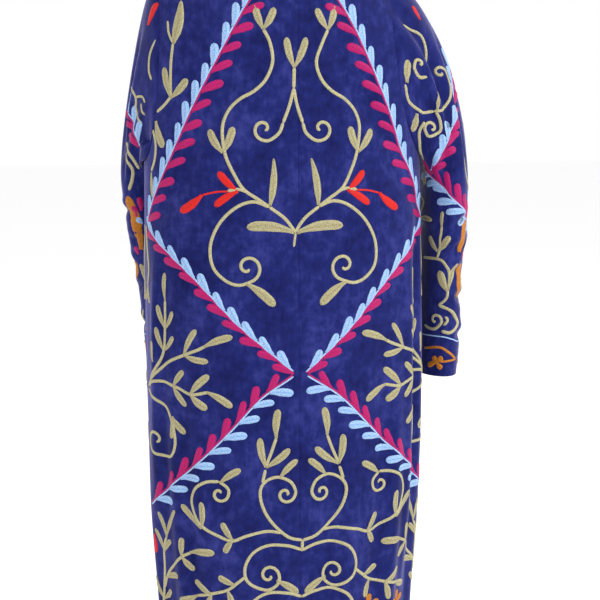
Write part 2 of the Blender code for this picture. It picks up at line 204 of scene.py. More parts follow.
def bare_body(angle, height):
    """The body's outer face before its creases, and its level outward direction."""
    side = np.where(angle < 0, -1.0, 1.0)
    behind = np.abs(angle) <= 90
    half_width, depth, across_power, depth_power = body_form(behind, height)
    sine = np.sin(np.radians(np.abs(angle)))
    x = half_width * sine
    drop = np.maximum(shoulder_line(x) - height, 0)
    rounded = np.sqrt(1 - (1 - np.minimum(drop / np.where(behind, ROUNDING[1], ROUNDING[-1]), 1)) ** 2)
    hollow = np.maximum(1 - sine ** across_power, 0) ** (1 / depth_power)
    y = np.where(behind, 1, -1) * depth * rounded * hollow
    outward = unit(np.stack([x / half_width ** 2, y / depth ** 2, np.zeros_like(x)], axis=-1))
    rise = np.zeros_like(x)
    for flute in FLUTES:
        away = np.minimum(np.abs(angle - flute.angle) / flute.half_angle, 1)
        grown = smooth_step((flute.start - height) / (flute.start - HEM_HEIGHT))
        rise += flute.rise * grown * np.cos(away * np.pi / 2) ** 2
    point = np.stack([x, y, height + np.zeros_like(x)], axis=-1) + outward * rise[..., None]
    mirror = np.stack([side, np.ones_like(side), np.ones_like(side)], axis=-1)
    return point * mirror, outward * mirror


measured_angles = np.linspace(0, 180, 721)
measured_across = run_along(bare_body(measured_angles, np.full(len(measured_angles), MEASURED_HEIGHT))[0])
SIDE_SEAM = measured_across[len(measured_angles) // 2]
CENTRE_FRONT = measured_across[-1]


def body_cloth(across, height):
    """Points on the robe's body at places on its cloth, creases and seams with them."""
    across, height = np.broadcast_arrays(np.asarray(across, float), np.asarray(height, float))
    angle = np.sign(across + 1e-12) * np.interp(np.abs(across), measured_across, measured_angles)
    point, outward = bare_body(angle, height)
    moved = press(BODY_CREASES, across, height)
    settled = smooth_step((shoulder_line(point[..., 0]) - height) / SHOULDER_CALM)
    from_seam = np.minimum(np.abs(across), np.abs(np.abs(across) - SIDE_SEAM))
    rolled = SEAM_ROLL * np.exp(-(from_seam / SEAM_ROLL_WIDTH) ** 2)
    return point + outward * (moved * settled - rolled)[..., None]


def armhole(side, steps):
    """Angle and height of the armhole's edge, from the shoulder tip to the underarm."""
    tip_height = shoulder_line(ARMHOLE_PLACE[side])
    tip_width = at_height(BODY_SECTIONS, "half_width", tip_height)
    tip_angle = np.degrees(np.arcsin(ARMHOLE_PLACE[side] / tip_width))
    fallen = np.sin(np.linspace(0, 1, steps + 1) * np.pi / 2) ** 2
    swept = 1 - (1 - fallen ** ARMHOLE_SQUARENESS) ** (1 / ARMHOLE_SQUARENESS)
    return tip_angle + (90 - tip_angle) * swept, tip_height + (UNDERARM_HEIGHT - tip_height) * fallen


def panel_grid(side, facing):
    """Places across and heights of a panel's grid: rows from the neckline to the hem, columns outward."""
    chest_width = at_height(BODY_SECTIONS, "half_width", UNDERARM_HEIGHT)
    inner = 0.0 if facing > 0 else np.degrees(np.arcsin(FRONT_EDGE_GAP / 2 / chest_width))
    edge_angles, edge_heights = armhole(side, ARMHOLE_ROWS)
    tip_angle, tip_height = edge_angles[0], edge_heights[0]
    top_width = at_height(BODY_SECTIONS, "half_width", tip_height)
    neck_angle = np.degrees(np.arcsin(NECK_HALF_WIDTH / top_width))
    corner = (neck_angle - inner) / (tip_angle - inner)
    # The columns stand closer beside the edges, and one of them runs down from the neck's corner
    shares = np.concatenate([
        [0, 0.005, 0.012],
        np.linspace(0.025, corner, 16),
        np.linspace(corner, 0.975, 36)[1:],
        [0.988, 0.995, 1],
    ])
    x = top_width * np.sin(np.radians(inner + (tip_angle - inner) * shares))
    reach = np.sqrt(np.maximum(1 - (x / NECK_HALF_WIDTH) ** 2, 0))
    column = "back_depth" if facing > 0 else "front_depth"
    scooped = NECK_DEPTHS[facing] * reach / getattr(BODY_SECTIONS[0], column)
    top_heights = shoulder_line(x) - ROUNDING[facing] * (1 - np.sqrt(np.maximum(1 - scooped ** 2, 0)))
    angles, heights = [], []
    for row in range(ARMHOLE_ROWS + 1):
        fallen = (edge_heights[row] - tip_height) / (UNDERARM_HEIGHT - tip_height)
        inner_share = (fallen + row / ARMHOLE_ROWS) / 2
        lowered = inner_share + (fallen - inner_share) * shares ** 1.5
        angles.append(inner + (edge_angles[row] - inner) * shares)
        heights.append(top_heights + (UNDERARM_HEIGHT - top_heights) * lowered)
    for height in np.linspace(UNDERARM_HEIGHT, HEM_HEIGHT, LENGTH_ROWS + 1)[1:]:
        angles.append(inner + (90 - inner) * shares)
        heights.append(np.full(len(shares), height))
    angles = np.array(angles)
    if facing < 0:
        angles = 180 - angles
    return side * np.interp(angles, measured_angles, measured_across), np.array(heights)


def in_scene(name, mesh):
    """A new object of a mesh, made the active one."""
    piece = bpy.data.objects.new(name, mesh)
    bpy.context.scene.collection.objects.link(piece)
    bpy.context.view_layer.objects.active = piece
    return piece


def cloth_piece(name, points, places, wraps):
    """A sewn piece: its grid of points made a mesh, laid out flat in its UV map, and given its thickness."""
    rows, columns = points.shape[:2]
    wide = columns if wraps else columns - 1
    first = np.arange(rows - 1)[:, None] * columns + np.arange(wide)
    beside = np.arange(rows - 1)[:, None] * columns + (np.arange(wide) + 1) % columns
    faces = np.stack([first, beside, beside + columns, first + columns], axis=-1).reshape(-1, 4)
    middle = points.mean(axis=(0, 1))
    corner_a, corner_b = points[1:-1, 1:-1], points[1:-1, 2:]
    normals = np.cross(corner_b - corner_a, points[2:, 1:-1] - corner_a)
    if np.sum(normals[..., :2] * (corner_a - (middle if wraps else 0))[..., :2]) < 0:
        faces = faces[:, ::-1]
    mesh = bpy.data.meshes.new(name)
    mesh.from_pydata(points.reshape(-1, 3).tolist(), [], faces.tolist())
    flat = mesh.uv_layers.new(name="UVMap")
    laid = places.reshape(-1, 2)[faces.reshape(-1)].copy()
    if wraps:
        by_face = laid.reshape(-1, 4, 2)
        around = np.ptp(places[..., 0]) * columns / (columns - 1)
        far = by_face[..., 0].max(axis=1) - by_face[..., 0].min(axis=1) > around / 2
        by_face[far, :, 0] += np.where(by_face[far, :, 0] < around / 2, around, 0)
    flat.data.foreach_set("uv", laid.ravel())
    piece = in_scene(name, mesh)
    thickness = piece.modifiers.new("wall", "SOLIDIFY")
    thickness.thickness, thickness.offset = WALL, -1
    bpy.ops.object.modifier_apply(modifier="wall")
    mesh.shade_smooth()
    mesh.set_sharp_from_angle(angle=math.radians(60))
    return piece


def dial(node, settings):
    """Sets a node's inputs by their names."""
    for socket, value in settings.items():
        node.inputs[socket].default_value = value


def new_finish(name, settings):
    """A new material with its nodes, its links and its shader."""
    material = bpy.data.materials.new(name)
    material.use_nodes = True
    shader = material.node_tree.nodes["Principled BSDF"]
    dial(shader, settings)
    return material, material.node_tree.nodes, material.node_tree.links, shader


def noise(nodes, links, place, stretch, detail, roughness=0.6):
    """A noise on the cloth's own places, its grains per metre given across and down."""
    mapping = nodes.new("ShaderNodeMapping")
    mapping.inputs["Scale"].default_value = stretch
    texture = nodes.new("ShaderNodeTexNoise")
    dial(texture, {"Scale": 1.0, "Detail": detail, "Roughness": roughness})
    links.new(place, mapping.inputs["Vector"])
    links.new(mapping.outputs["Vector"], texture.inputs["Vector"])
    return texture.outputs["Fac"]


def blend_of(nodes, links, shares):
    """Several grey patterns added up, each by its share."""
    total = None
    for pattern, share in shares:
        part = nodes.new("ShaderNodeMath")
        part.operation = "MULTIPLY_ADD"
        part.inputs[1].default_value = share
        part.inputs[2].default_value = 0.0
        links.new(pattern, part.inputs[0])
        if total is not None:
            links.new(total, part.inputs[2])
        total = part.outputs[0]
    return total


def colour_by(nodes, links, grey, tones, shader):
    """Colours a finish by a grey pattern, through tones given as grey value and colour, darkest first."""
    ramp = nodes.new("ShaderNodeValToRGB")
    stops = ramp.color_ramp.elements
    for stop, (position, colour) in zip(stops, (tones[0], tones[-1])):
        stop.position, stop.color = position, (*colour, 1)
    for position, colour in tones[1:-1]:
        stops.new(position).color = (*colour, 1)
    links.new(grey, ramp.inputs["Fac"])
    links.new(ramp.outputs["Color"], shader.inputs["Base Color"])


def raise_by(nodes, links, height, strength, distance, shader, invert=False):
    """Gives a finish the fine relief of a grey pattern."""
    bump = nodes.new("ShaderNodeBump")
    bump.invert = invert
    dial(bump, {"Strength": strength, "Distance": distance})
    links.new(height, bump.inputs["Height"])
    links.new(bump.outputs["Normal"], shader.inputs["Normal"])


VELVET_TONES = (
    (0.38, (0.0045, 0.0065, 0.062)),
    (0.50, (0.0092, 0.0140, 0.110)),
    (0.66, (0.034, 0.040, 0.212)),
)


def velvet(name):
    """Indigo cotton velvet: pressed in soft patches, brushed both ways, its fine pile streaked down it."""
    material, nodes, links, shader = new_finish(name, {
        "Roughness": 0.82,
        "Specular IOR Level": 0.08,
        "Sheen Weight": 0.60,
        "Sheen Roughness": 0.34,
        "Sheen Tint": (0.60, 0.56, 1.0, 1),
    })
    place = nodes.new("ShaderNodeTexCoord").outputs["UV"]
    streaks = noise(nodes, links, place, (170, 26, 1), 3)
    patches = noise(nodes, links, place, (13, 9, 1), 3, 0.55)
    brushed = noise(nodes, links, place, (70, 58, 1), 4)
    pile = noise(nodes, links, place, (1500, 1100, 1), 2)
    shares = ((patches, 0.42), (brushed, 0.36), (streaks, 0.12), (pile, 0.10))
    colour_by(nodes, links, blend_of(nodes, links, shares), VELVET_TONES, shader)
    relief = blend_of(nodes, links, ((pile, 0.35), (streaks, 0.20), (brushed, 0.45)))
    raise_by(nodes, links, relief, 0.55, 0.0012, shader)
    return material


back_velvet = velvet("indigo_velvet_back")
SIDE_NAMES = {1: "left", -1: "right"}


def body_panel(side, facing, name, finish):
    """One panel of the body, back or front, cut to its seams. It gives its outer points back."""
    across, height = panel_grid(side, facing)
    points = body_cloth(across, height)
    if facing > 0:
        points[:, 0, 0] = side * SEAM_GAP / 2
    points[ARMHOLE_ROWS:, -1, 1] = facing * SEAM_GAP / 2
    points[0, NECK_COLUMNS:, 1] = facing * SEAM_GAP / 2
    piece = cloth_piece(f"velvet_{name}", points, np.stack([across, height], axis=-1), wraps=False)
    piece.data.materials.append(finish)
    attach(piece, "root")
    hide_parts(name)
    return points


back_points = {side: body_panel(side, 1, f"back_{SIDE_NAMES[side]}", back_velvet) for side in SIDE_NAMES}


# The two fronts. Panels of the same velvet, joined to the back at the shoulder and down the side seam, with
# a plain edge at the middle, where the robe is worn open.
front_velvet = velvet("indigo_velvet_fronts")
front_points = {side: body_panel(side, -1, f"front_{SIDE_NAMES[side]}", front_velvet) for side in SIDE_NAMES}


# The two sleeves. Each is one piece of velvet, sewn into a tube under the arm and set into the armhole. They
# hang over the arms with wrinkles at the elbow and above the cuff; the left arm is held forward. A place on
# a sleeve is given as metres round it, from its outer line backwards, and share of the way to the cuff.
SLEEVE_HEAD = {1: 0.32, -1: 0.90}
FOLLOW_BODY, DRAWN_OUT, DRAWN_DOWN = (0.3, 3.0), (0.4, 1.0), 0.9
ARM_DIRECTION_STEP = 0.02
SLEEVE_CLEARANCE, CLEARANCE_REACH = 0.006, 0.03
BEND_ROWS, ARM_ROWS = 36, 90
SLEEVE_ROUND = 0.40
ARMHOLE_ROLL, ARMHOLE_ROLL_WIDTH = 0.0018, 0.004
INNER_COLUMNS, EVENING_ROUNDS, WRAP_SHARE = 5, 6, 0.85

SleeveSection = namedtuple("SleeveSection", "height out back half_across half_deep turn")
SLEEVE_SECTIONS = {
    -1: (
        SleeveSection(-0.40, 0.273, -0.010, 0.037, 0.086, 0),
        SleeveSection(-0.48, 0.273, -0.014, 0.037, 0.082, 0),
        SleeveSection(-0.56, 0.269, -0.020, 0.034, 0.076, 2),
        SleeveSection(-0.64, 0.272, -0.026, 0.036, 0.068, 4),
        SleeveSection(-0.717, 0.270, -0.030, 0.034, 0.062, 5),
    ),
    1: (
        SleeveSection(-0.40, 0.202, -0.112, 0.038, 0.078, 38),
        SleeveSection(-0.48, 0.193, -0.136, 0.038, 0.074, 38),
        SleeveSection(-0.56, 0.182, -0.157, 0.038, 0.068, 36),
        SleeveSection(-0.64, 0.176, -0.174, 0.038, 0.062, 34),
        SleeveSection(-0.70, 0.174, -0.185, 0.037, 0.057, 32),
    ),
}

# The same creases as on the body, from places round and along the sleeve
SLEEVE_CREASES = {
    -1: (
        Crease(0.056, -0.04, 0.078, 0.26, 0.004, 0.008, 0.0080),
        Crease(0.052, 0.06, 0.094, 0.34, 0.008, 0.011, 0.0062),
        Crease(0.020, 0.1, 0.060, 0.42, 0.006, 0.009, 0.0068),
        Crease(0.106, 0.06, 0.128, 0.4, -0.006, 0.011, 0.0062),
        Crease(-0.020, 0.08, 0.006, 0.4, 0.006, 0.009, 0.0061),
        Crease(0.030, 0.5, 0.120, 0.56, 0.010, 0.015, 0.0046),
        Crease(0.062, 0.585, 0.150, 0.6, -0.010, 0.015, 0.0046),
        Crease(-0.020, 0.57, 0.060, 0.64, 0.008, 0.015, 0.0046),
        Crease(0.040, 0.66, 0.130, 0.7, 0.010, 0.015, 0.0046),
        Crease(0.010, 0.76, 0.090, 0.74, -0.008, 0.015, 0.0046),
        Crease(0.060, 0.84, 0.140, 0.8, 0.010, 0.015, 0.0046),
        Crease(0.000, 0.9, 0.090, 0.87, 0.008, 0.015, 0.0044),
        Crease(0.180, 0.52, 0.270, 0.6, 0.010, 0.015, 0.0046),
        Crease(0.200, 0.68, 0.300, 0.72, -0.010, 0.015, 0.0046),
        Crease(0.250, 0.34, 0.330, 0.5, 0.010, 0.009, 0.0061),
        Crease(0.280, 0.8, 0.370, 0.84, 0.008, 0.015, 0.0046),
    ),
    1: (
        Crease(0.030, 0.04, 0.070, 0.4, 0.008, 0.009, 0.0058),
        Crease(0.100, 0.1, 0.086, 0.44, -0.008, 0.009, 0.0051),
        Crease(-0.030, 0.12, 0.000, 0.46, 0.008, 0.010, 0.0058),
        Crease(0.020, 0.5, 0.120, 0.53, 0.008, 0.015, 0.0046),
        Crease(0.060, 0.6, 0.160, 0.58, -0.008, 0.015, 0.0046),
        Crease(-0.010, 0.66, 0.080, 0.7, 0.010, 0.015, 0.0046),
        Crease(0.050, 0.78, 0.130, 0.75, 0.008, 0.015, 0.0046),
        Crease(0.000, 0.86, 0.090, 0.89, -0.008, 0.015, 0.0044),
        Crease(0.240, 0.42, 0.340, 0.52, 0.010, 0.015, 0.0046),
        Crease(0.220, 0.62, 0.330, 0.66, -0.010, 0.015, 0.0046),
        Crease(0.260, 0.76, 0.360, 0.82, 0.010, 0.015, 0.0046),
    ),
}


def clear_of_body(ring, clearance):
    """Moves a sleeve's points out of the body beside them and a little away from it."""
    half_width, depth, across_power, depth_power = body_form(ring[:, 1] > 0, ring[:, 2])
    reach = (
        (np.abs(ring[:, 0]) / (half_width + clearance)) ** across_power
        + (np.abs(ring[:, 1]) / (depth + clearance)) ** depth_power
    )
    inside = (reach < 1) & (ring[:, 2] <= UNDERARM_HEIGHT + CLEARANCE_REACH)
    moved = ring.copy()
    moved[inside, :2] *= (reach[inside] ** (-1 / depth_power[inside]))[:, None]
    return moved


def sleeve_ring(side, height, count):
    """A level ring of points round the hanging part of a sleeve."""
    out, back, across, deep, turn = (
        at_height(SLEEVE_SECTIONS[side], column, height) for column in SleeveSection._fields[1:]
    )
    round_it = np.arange(count) / count * 2 * np.pi
    flat_x, flat_y = across * np.cos(round_it), deep * np.sin(round_it)
    turned = np.radians(turn)
    x = out + flat_x * np.cos(turned) + flat_y * np.sin(turned)
    y = back - flat_x * np.sin(turned) + flat_y * np.cos(turned)
    return np.stack([side * x, y, np.full(count, height)], axis=1)


def sleeve_grid(side):
    """Rings of a sleeve from the armhole to the cuff, with their places round and along it."""
    back, front = back_points[side], front_points[side]
    first = np.concatenate([back[: ARMHOLE_ROWS + 1, -1], front[1:ARMHOLE_ROWS, -1][::-1]]).copy()
    # Points of the body a little inside the armhole's edge show which way the sleeve leaves it
    beside = np.concatenate([
        back[: ARMHOLE_ROWS + 1, -INNER_COLUMNS],
        front[1:ARMHOLE_ROWS, -INNER_COLUMNS][::-1],
    ])
    first[0, 1] = first[ARMHOLE_ROWS, 1] = 0
    beside[ARMHOLE_ROWS] = back[ARMHOLE_ROWS + 3, -1]
    count = len(first)
    along = unit(np.roll(first, -1, axis=0) - np.roll(first, 1, axis=0))
    away = first - beside
    away = unit(away - along * np.sum(away * along, axis=1, keepdims=True))
    for _ in range(EVENING_ROUNDS):
        away = unit(away + 0.5 * np.roll(away, 1, axis=0) + 0.5 * np.roll(away, -1, axis=0))
    first = first + away * SEAM_GAP
    top, cuff = SLEEVE_SECTIONS[side][0].height, SLEEVE_SECTIONS[side][-1].height
    end = sleeve_ring(side, top, count)
    below = sleeve_ring(side, top - ARM_DIRECTION_STEP, count)
    upward = np.abs(np.arange(count) - ARMHOLE_ROWS)[:, None] / ARMHOLE_ROWS
    span = np.linalg.norm(end - first, axis=1, keepdims=True)
    follow = FOLLOW_BODY[0] + (FOLLOW_BODY[1] - FOLLOW_BODY[0]) * upward ** 2
    drawn = DRAWN_OUT[0] + (DRAWN_OUT[1] - DRAWN_OUT[0]) * upward
    leave = unit(away * follow + np.array([side, 0.0, 0.0])) * span * drawn * SLEEVE_HEAD[side]
    arrive = unit(below - end) * span * DRAWN_DOWN
    rings = [first]
    for step in range(1, BEND_ROWS + 1):
        share = step / BEND_ROWS
        ring = eased(first, leave, end, arrive, share)
        rings.append(clear_of_body(ring, SLEEVE_CLEARANCE * min(share * 3, 1)))
    for height in np.linspace(top, cuff, ARM_ROWS + 1)[1:]:
        rings.append(clear_of_body(sleeve_ring(side, height, count), SLEEVE_CLEARANCE))
    rings = np.array(rings)
    down = np.concatenate([[0], np.cumsum(np.linalg.norm(np.diff(rings, axis=0), axis=2).mean(axis=1))])
    shares = down / down[-1]
    around = np.arange(count) / count * SLEEVE_ROUND
    across = np.gradient(np.concatenate([rings[:, -1:], rings, rings[:, :1]], axis=1), axis=1)[:, 1:-1]
    normals = unit(np.cross(across, np.gradient(rings, axis=0)))
    if np.sum(normals * (rings - rings.mean(axis=1, keepdims=True))) < 0:
        normals = -normals
    # A crease may start just in front of the outer line, so the last stretch round counts as negative
    shown_round = np.where(around > WRAP_SHARE * SLEEVE_ROUND, around - SLEEVE_ROUND, around)
    moved = press(SLEEVE_CREASES[side], shown_round[None, :], shares[:, None])
    rolled = ARMHOLE_ROLL * np.exp(-(down / ARMHOLE_ROLL_WIDTH) ** 2)
    points = rings + normals * (moved - rolled[:, None])[..., None]
    points[0] = rings[0] - normals[0] * ARMHOLE_ROLL
    places = np.stack(np.broadcast_arrays(around[None, :], down[:, None]), axis=-1)
    return points, places, rings


sleeve_velvet = velvet("indigo_velvet_sleeves")
sleeve_points, smooth_sleeves = {}, {}
for side, side_name in SIDE_NAMES.items():
    sleeve_points[side], places, smooth_sleeves[side] = sleeve_grid(side)
    sleeve = cloth_piece(f"velvet_sleeve_{side_name}", sleeve_points[side], places, wraps=True)
    sleeve.data.materials.append(sleeve_velvet)
    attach(sleeve, "root")
    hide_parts(f"sleeve_{side_name}")


# The neckband. One straight strip of velvet, folded double and sewn round the neck opening, where it
# stands up and leans in a little.
NECKBAND_HEIGHT, NECKBAND_LEAN, NECKBAND_PUFF, NECK_SEAM = 0.030, 0.006, 0.0008, 0.0012
NECKBAND_ROWS, NECKBAND_COLUMNS = 12, 120
edges = [
    front_points[-1][0, :NECK_COLUMNS],
    back_points[-1][0, :NECK_COLUMNS][::-1],
    back_points[1][0, :NECK_COLUMNS],
    front_points[1][0, :NECK_COLUMNS][::-1],
]
line = [edges[0][:-1]]
for before, after in zip(edges, edges[1:]):
    line += [(before[-1:] + after[:1]) / 2, after[1:-1]]
foot = np.concatenate(line + [edges[-1][-1:]])
steps = run_along(foot)
even = np.linspace(0, steps[-1], NECKBAND_COLUMNS + 1)
foot = np.stack([np.interp(even, steps, foot[:, axis]) for axis in range(3)], axis=1)
along = unit(np.gradient(foot, axis=0) * (1, 1, 0))
inward = np.cross(along, (0, 0, 1))
inward *= np.sign(-np.sum(inward * foot * (1, 1, 0), axis=1, keepdims=True))
# Its lower edge is sewn inside the neck edge of the body
foot = foot + inward * (WALL + SEAM_GAP) - (0, 0, NECK_SEAM)
up = np.linspace(0, 1, NECKBAND_ROWS + 1)
bulge = NECKBAND_PUFF * np.sin(up * np.pi)
points = np.array([
    foot + inward * (NECKBAND_LEAN * share - puffed) + (0, 0, NECKBAND_HEIGHT * share)
    for share, puffed in zip(up, bulge)
])
places = np.stack(np.broadcast_arrays(even[None, :], -NECKBAND_HEIGHT * up[:, None]), axis=-1)
band = cloth_piece("velvet_neckband", points, places, wraps=False)
band.data.materials.append(velvet("indigo_velvet_neckband"))
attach(band, "root")
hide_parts("neckband")


# The leaf chains. Bands of two-coloured leaves that cross the robe as a lattice, worked by hand in chain
# stitch with thick silky thread: magenta leaves on one side of a double stem, pale blue on the other. The
# rows of stitches stand a little proud of the velvet.
STITCH_STEP = 0.003
STITCH_RISE, STITCH_SUNK = 0.0012, 0.0004
STITCH_ACROSS = np.array([-1, -0.66, 0, 0.66, 1])
STITCH_CROWN = np.array([-STITCH_SUNK, 0.72 * STITCH_RISE, STITCH_RISE, 0.72 * STITCH_RISE, -STITCH_SUNK])
STITCH_RIM = np.array([1, 0.62, 0, 0.62, 1])
LEAF_LENGTH, LEAF_WIDTH, LEAF_SPACING = 0.034, 0.0135, 0.0335
# A leaf's steps, its width at the base, the shares of its length where it is full and where it rounds off,
# and how far its middle bows aside
LEAF_STEPS, LEAF_FOOT, LEAF_FULL, LEAF_ROUND, LEAF_BOW = 12, 0.40, 0.52, 0.78, 0.05
CHAIN_STEM, VINE_STEM = 0.0030, 0.0058
# In a chain: the fine step along it, and how far aside its two stems, its leaves' bases and their tips lie
FINE_STEP, STEM_ASIDE, BASE_ASIDE, TIP_ASIDE = 0.001, 0.0014, 0.002, 0.003
# A coil's steps for each turn, and what is left of its reach at its middle
COIL_STEPS, COIL_END = 12, 0.16
# Half width from which a row stands up in full, and how light a bare row is beside a leaf's rim
FULL_HALF_WIDTH, ROW_RIM = 0.0022, 0.85
# How far aside the cloth is felt for its direction, and how far it may be pressed together or drawn out
FEELER, DRAWN_LIMITS = 0.0015, (0.4, 3.0)


def thread(name, light, dark, filling):
    """Silky thread in rows of chain stitch: a light rim, a mottled filling, and each loop painted lighter at
    its crown and darker between loops, as painted highlight and painted shade.
    """
    material, nodes, links, shader = new_finish(name, {
        "Roughness": 0.55,
        "Specular IOR Level": 0.2,
        "Sheen Weight": 0.05,
        "Sheen Roughness": 0.5,
    })
    place = nodes.new("ShaderNodeTexCoord").outputs["UV"]
    mapping = nodes.new("ShaderNodeMapping")
    mapping.inputs["Scale"].default_value = (340, 560, 1)
    links.new(place, mapping.inputs["Vector"])
    loops = nodes.new("ShaderNodeTexVoronoi")
    dial(loops, {"Scale": 1.0, "Randomness": 0.55})
    links.new(mapping.outputs["Vector"], loops.inputs["Vector"])
    mottled = noise(nodes, links, place, (420, 520, 1), 2)
    rim = nodes.new("ShaderNodeAttribute")
    rim.attribute_name = "rim"
    lighter = nodes.new("ShaderNodeMath")
    lighter.operation = "MULTIPLY_ADD"
    lighter.inputs[1].default_value = filling
    links.new(rim.outputs["Fac"], lighter.inputs[0])
    # The stitch loops' pattern lightens the colour at each loop's crown and darkens it in the hollows
    # between loops: painted highlight and painted shade on the thread
    filled = blend_of(nodes, links, ((mottled, 0.85), (loops.outputs["Distance"], -0.40)))
    links.new(filled, lighter.inputs[2])
    colour_by(nodes, links, lighter.outputs[0], ((0.06, dark), (0.62, light)), shader)
    raise_by(nodes, links, loops.outputs["Distance"], 0.7, 0.0006, shader, invert=True)
    return material


def smooth_line(line, step=STITCH_STEP):
    """A smooth curve through the places of a line, in even steps."""
    line = np.asarray(line, float)
    if len(line) > 2:
        before = np.concatenate([2 * line[:1] - line[1:2], line[:-2]])
        start, end = line[:-1], line[1:]
        after = np.concatenate([line[2:], 2 * line[-1:] - line[-2:-1]])
        share = np.linspace(0, 1, 13)[:-1, None, None]
        curve = 0.5 * (
            2 * start + (end - before) * share + (2 * before - 5 * start + 4 * end - after) * share ** 2
            + (3 * start - before - 3 * end + after) * share ** 3
        )
        line = np.concatenate([curve.transpose(1, 0, 2).reshape(-1, 2), line[-1:]])
    run = run_along(line)
    even = np.linspace(0, run[-1], max(int(round(run[-1] / step)), 3) + 1)
    return np.stack([np.interp(even, run, line[:, axis]) for axis in range(2)], axis=1)


def stem(line, width=VINE_STEM):
    """A row or two of stitches along a line, narrower at both ends."""
    line = smooth_line(line)
    half = np.full(len(line), width / 2)
    half[0] *= 0.5
    half[-1] *= 0.5
    return line, half, False


def leaf(base, tip, width, bow=0.0):
    """A filled leaf, narrow at its base and round at its tip, bowed aside by a share of its length."""
    base, tip = np.asarray(base, float), np.asarray(tip, float)
    run = tip - base
    aside = np.array([-run[1], run[0]]) * bow
    share = np.append(np.linspace(0, 1, LEAF_STEPS)[:-1], [0.965, 1.0])
    line = base + run * share[:, None] + aside * (4 * share * (1 - share))[:, None]
    swell = LEAF_FOOT + (1 - LEAF_FOOT) * smooth_step(share / LEAF_FULL)
    rounded = np.sqrt(np.maximum(1 - np.maximum((share - LEAF_ROUND) / (1 - LEAF_ROUND), 0) ** 2, 0.01))
    return line, swell * rounded * width / 2, True


def coil(line, centre, turns):
    """A vine that follows a line and then winds in round a centre; the turns' sign gives the way round."""
    centre = np.asarray(centre, float)
    start = np.asarray(line[-1], float) - centre
    share = np.linspace(0, 1, max(int(abs(turns) * COIL_STEPS), COIL_STEPS // 2))[1:]
    angle = math.atan2(start[1], start[0]) + turns * 2 * np.pi * share
    reach = np.hypot(*start) * (1 - (1 - COIL_END) * share ** 0.85)
    wound = centre + np.stack([reach * np.cos(angle), reach * np.sin(angle)], axis=1)
    return stem(list(line) + wound.tolist())


def turned(vector, degrees):
    """A direction on the cloth, turned towards the left."""
    cosine, sine = math.cos(math.radians(degrees)), math.sin(math.radians(degrees))
    return np.array([cosine * vector[0] - sine * vector[1], sine * vector[0] + cosine * vector[1]])


def leaf_chain(line, blue_side, lean, spacing=LEAF_SPACING, first=(0.7, 1.0)):
    """A chain's strokes: leaves that point back to its start, the blue ones left (1) or right (-1) of it."""
    run = smooth_line(line, FINE_STEP)
    count = max(int(round((len(run) - 1) * FINE_STEP / spacing)), 1)
    worked = {"blue": [], "pink": []}
    ahead = unit(np.gradient(run, axis=0))
    left = np.stack([-ahead[:, 1], ahead[:, 0]], axis=1) * blue_side
    worked["blue"].append(stem(run[::4] + left[::4] * STEM_ASIDE, CHAIN_STEM))
    worked["pink"].append(stem(run[::4] - left[::4] * STEM_ASIDE, CHAIN_STEM))
    for number in range(count):
        for colour, towards, opening, start in zip(("blue", "pink"), (1, -1), lean, first):
            place = int((number + start) / count * (len(run) - 1))
            if place >= len(run):
                continue
            base = run[place] + left[place] * BASE_ASIDE * towards
            # No two leaves of a hand-worked chain are quite alike
            uneven = math.sin(number * 2.4 + towards + line[0][0] * 40)
            back = turned(-ahead[place], -towards * blue_side * (opening + 2.5 * uneven))
            length = LEAF_LENGTH * (1 + 0.07 * math.sin(number * 1.7 + 2 * towards))
            tip = base + back * length + left[place] * TIP_ASIDE * towards
            bow = 0.06 * towards * blue_side
            worked[colour].append(leaf(base, tip, LEAF_WIDTH * (1 + 0.08 * uneven), bow))
    return worked


